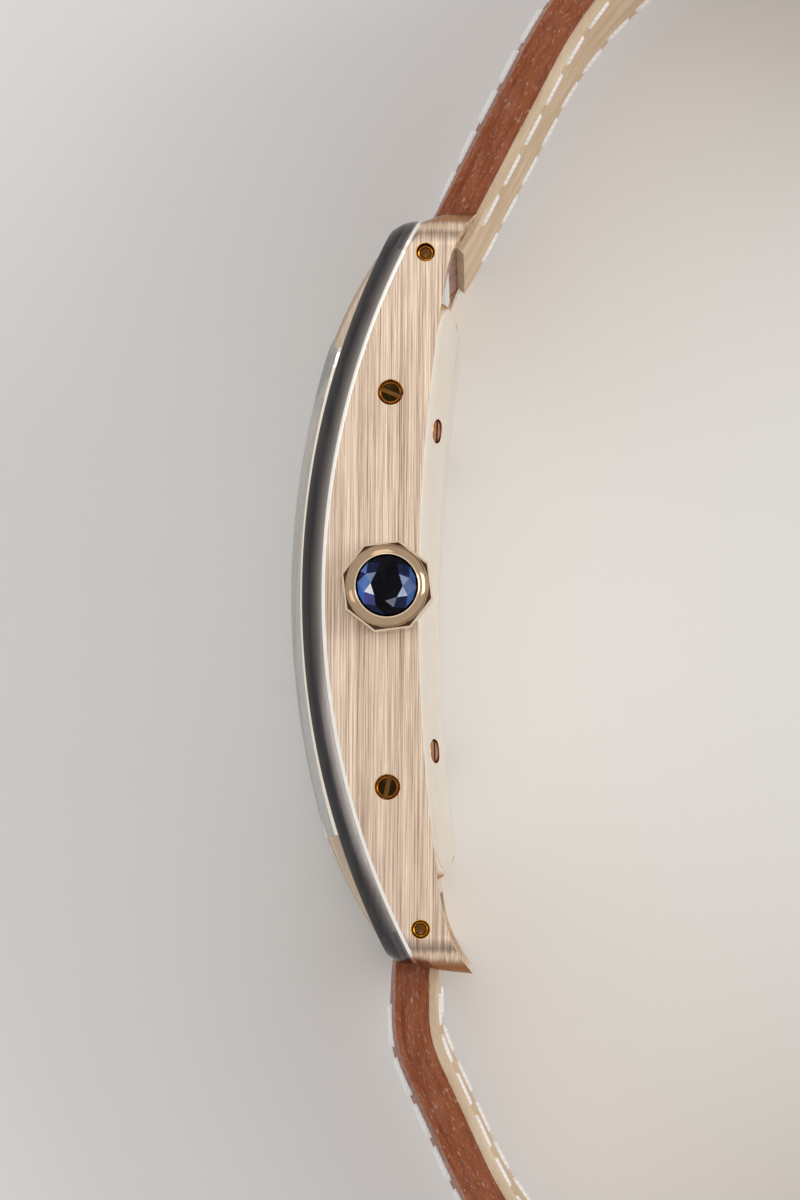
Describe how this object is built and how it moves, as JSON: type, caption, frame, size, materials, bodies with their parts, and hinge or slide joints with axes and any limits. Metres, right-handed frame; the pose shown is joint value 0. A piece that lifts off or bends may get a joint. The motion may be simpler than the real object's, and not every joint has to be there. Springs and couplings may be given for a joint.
{
  "type": "rectangular wristwatch",
  "caption": "Curved rectangular wristwatch on its side, with drilled lugs, an octagonal stone-set crown and a stitched leather strap left unbuckled.",
  "frame": {"origin": "on the 9 o'clock flank that the watch lies on, at the middle of its length", "axes": "+Z out of the crown flank, -Y out of the dial, -X towards 12 o'clock"},
  "size_m": [0.0972, 0.0828, 0.031],
  "materials": {
    "brushed_gold": "fine vertical brush on the flanks, bevels polished",
    "polished_gold": "polished",
    "crown_gold": "polished",
    "screw_gold": "polished, slotted heads",
    "crystal": "clear, polished",
    "stone": "faceted, dark blue",
    "seal": "satin",
    "dial": "satin cream",
    "gold_trim": "polished",
    "steel": "satin",
    "plate": "satin, plated",
    "blued_steel": "blued",
    "jewel": "polished red",
    "train_brass": "satin",
    "strap_leather": "matte, rough cut edges",
    "strap_lining": "matte cream"
  },
  "bodies": {
    "case": {"case_body": "brushed_gold", "bezel": "polished_gold", "crystal": "crystal", "crystal_gasket": "seal", "dial": "dial", "hour_markers": "gold_trim", "casing_ring": "steel", "case_back": "polished_gold", "back_gasket": "seal", "flank_screws": "screw_gold", "back_screws": "screw_gold", "lug_bar_12": "screw_gold", "lug_bar_6": "screw_gold", "crown_tube": "steel", "mainplate": "plate", "barrel_bridge": "plate", "train_bridge": "plate", "balance_cock": "plate", "pallet_bridge": "plate", "movement_screws": "blued_steel", "jewels": "jewel", "hairspring": "blued_steel"},
    "stem_carrier": {"setting_lever": "steel"},
    "crown_assembly": {"crown": "crown_gold", "crown_stone": "stone", "crown_gasket": "seal", "stem": "steel", "clutch_wheel": "train_brass"},
    "minute_assembly": {"cannon_pinion": "train_brass", "minute_hand": "gold_trim"},
    "minute_wheel_body": {"minute_wheel": "train_brass"},
    "hour_assembly": {"hour_wheel": "train_brass", "hour_hand": "gold_trim"},
    "barrel_body": {"barrel": "train_brass"},
    "center_body": {"center_wheel": "train_brass"},
    "third_body": {"third_wheel": "train_brass"},
    "fourth_body": {"fourth_wheel": "train_brass"},
    "escape_body": {"escape_wheel": "steel"},
    "pallet_body": {"pallet_fork": "steel"},
    "balance_body": {"balance_wheel": "train_brass"},
    "strap_12": {"strap_12_leather": "strap_leather", "strap_12_lining": "strap_lining", "fixed_keeper": "strap_leather"},
    "keeper_body": {"free_keeper": "strap_leather"},
    "buckle": {"buckle_frame": "polished_gold", "buckle_bar": "screw_gold"},
    "tang": {"buckle_tang": "polished_gold"},
    "strap_6": {"strap_6_leather": "strap_leather", "strap_6_lining": "strap_lining"}
  },
  "joints": [
    {"name": "crown_pull", "type": "slide", "parent": "case", "child": "stem_carrier", "axis": [0, 0, 1], "range_m": [0, 0.001]},
    {"name": "crown_turn", "type": "hinge", "parent": "stem_carrier", "child": "crown_assembly", "pos_m": [0, 0.00095, 0.0133], "axis": [0, 0, 1], "continuous": true},
    {"name": "minute_turn", "type": "hinge", "parent": "case", "child": "minute_assembly", "pos_m": [0, 0, 0.0133], "axis": [0, 1, 0], "continuous": true},
    {"name": "minute_wheel_turn", "type": "hinge", "parent": "case", "child": "minute_wheel_body", "pos_m": [-0.00144, 0, 0.01081], "axis": [0, 1, 0], "continuous": true},
    {"name": "hour_turn", "type": "hinge", "parent": "case", "child": "hour_assembly", "pos_m": [0, 0, 0.0133], "axis": [0, 1, 0], "continuous": true},
    {"name": "fourth_turn", "type": "hinge", "parent": "case", "child": "fourth_body", "pos_m": [0.00582, 0, 0.0122], "axis": [0, 1, 0], "continuous": true},
    {"name": "third_turn", "type": "hinge", "parent": "case", "child": "third_body", "pos_m": [0.00283, 0, 0.01047], "axis": [0, 1, 0], "continuous": true},
    {"name": "center_turn", "type": "hinge", "parent": "case", "child": "center_body", "pos_m": [0, 0, 0.0133], "axis": [0, 1, 0], "continuous": true},
    {"name": "barrel_turn", "type": "hinge", "parent": "case", "child": "barrel_body", "pos_m": [-0.00464, 0, 0.01206], "axis": [0, 1, 0], "continuous": true},
    {"name": "escape_turn", "type": "hinge", "parent": "case", "child": "escape_body", "pos_m": [0.0073, 0, 0.01537], "axis": [0, 1, 0], "continuous": true},
    {"name": "pallet_rock", "type": "hinge", "parent": "case", "child": "pallet_body", "pos_m": [0.00615, 0, 0.01713], "axis": [0, 1, 0], "range_deg": [-4, 4]},
    {"name": "balance_swing", "type": "hinge", "parent": "case", "child": "balance_body", "pos_m": [0.0052, 0, 0.0186], "axis": [0, 1, 0], "range_deg": [-270, 270]},
    {"name": "strap_12_swing", "type": "hinge", "parent": "case", "child": "strap_12", "pos_m": [-0.0199, 0.003, 0.0133], "axis": [0, 0, 1], "range_deg": [-8, 30]},
    {"name": "strap_6_swing", "type": "hinge", "parent": "case", "child": "strap_6", "pos_m": [0.0199, 0.003, 0.0133], "axis": [0, 0, -1], "range_deg": [-8, 8]},
    {"name": "keeper_slide", "type": "slide", "parent": "strap_12", "child": "keeper_body", "axis": [0.5736, 0.8192, 0], "range_m": [-0.0035, 0.0025]},
    {"name": "buckle_turn", "type": "hinge", "parent": "strap_12", "child": "buckle", "pos_m": [-0.03024, 0.06285, 0.0133], "axis": [0, 0, 1], "range_deg": [-70, 45]},
    {"name": "tang_turn", "type": "hinge", "parent": "buckle", "child": "tang", "pos_m": [-0.03024, 0.06285, 0.0133], "axis": [0, 0, 1], "range_deg": [0, 60]}
  ],
  "couplings": [
    {"joint": "minute_wheel_turn", "follows": "minute_turn", "ratio": -0.33333},
    {"joint": "hour_turn", "follows": "minute_turn", "ratio": 0.083333},
    {"joint": "third_turn", "follows": "fourth_turn", "ratio": -0.15},
    {"joint": "center_turn", "follows": "fourth_turn", "ratio": 0.016667},
    {"joint": "barrel_turn", "follows": "fourth_turn", "ratio": -0.002381},
    {"joint": "escape_turn", "follows": "fourth_turn", "ratio": -9}
  ]
}
